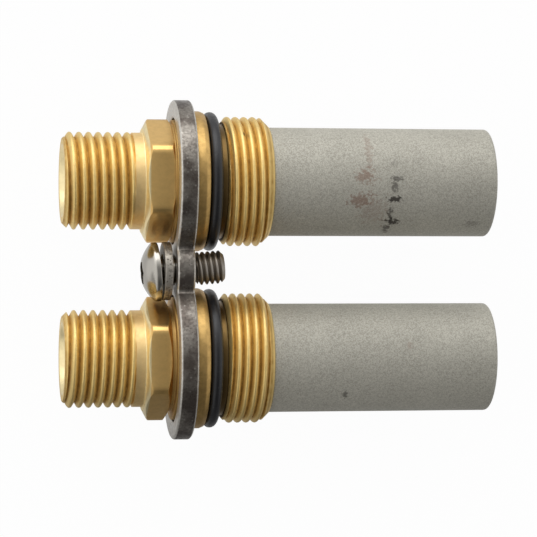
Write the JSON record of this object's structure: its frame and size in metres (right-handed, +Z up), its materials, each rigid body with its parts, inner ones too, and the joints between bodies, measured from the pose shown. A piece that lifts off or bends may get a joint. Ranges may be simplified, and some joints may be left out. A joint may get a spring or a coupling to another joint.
{
  "type": "flashback arrestor cartridge set",
  "caption": "Twin flashback arrestor cartridges, oxygen and fuel gas, on a steel lock plate with a captive screw; threaded brass bodies with inner non-return valves and sintered thimbles.",
  "frame": {"origin": "in the plane of the two flanges' seat faces, midway between the cartridge axes", "axes": "+X along the cartridges from the hose inlets to the sintered thimbles, +Y from the fuel gas cartridge to the oxygen cartridge, +Z up, towards the side with the screw's ear"},
  "size_m": [0.0634, 0.0498, 0.0238],
  "materials": {
    "body_brass": "machined, satin",
    "inner_brass": "machined",
    "o_ring_rubber": "smooth",
    "seal_rubber": "matt",
    "sintered_steel": "sintered, matt and grainy",
    "plate_steel": "tumbled, dull grey",
    "screw_steel": "polished stainless",
    "washer_steel": "dull",
    "spring_steel": "drawn wire",
    "screen_steel": "perforated"
  },
  "bodies": {
    "cartridge_set": {"oxygen_body": "body_brass", "oxygen_body_o_ring": "o_ring_rubber", "oxygen_arrestor_thimble": "sintered_steel", "oxygen_strainer_screen": "screen_steel", "oxygen_strainer_ring": "inner_brass", "oxygen_spring_cage": "inner_brass", "oxygen_valve_spring": "spring_steel", "fuel_body": "body_brass", "fuel_body_o_ring": "o_ring_rubber", "fuel_arrestor_thimble": "sintered_steel", "fuel_strainer_screen": "screen_steel", "fuel_strainer_ring": "inner_brass", "fuel_spring_cage": "inner_brass", "fuel_valve_spring": "spring_steel", "lock_plate": "plate_steel", "lock_screw": "screw_steel", "lock_washer": "washer_steel"},
    "oxygen_valve": {"oxygen_valve_poppet": "inner_brass", "oxygen_poppet_seal": "seal_rubber"},
    "fuel_valve": {"fuel_valve_poppet": "inner_brass", "fuel_poppet_seal": "seal_rubber"}
  },
  "joints": [
    {"name": "oxygen_valve_slide", "type": "slide", "parent": "cartridge_set", "child": "oxygen_valve", "axis": [1, 0, 0], "range_m": [0, 0.0015], "stiffness_N_per_m": 100, "springref_m": -0.001, "deforming": ["oxygen_valve_spring"]},
    {"name": "fuel_valve_slide", "type": "slide", "parent": "cartridge_set", "child": "fuel_valve", "axis": [1, 0, 0], "range_m": [0, 0.0015], "stiffness_N_per_m": 100, "springref_m": -0.001, "deforming": ["fuel_valve_spring"]}
  ]
}
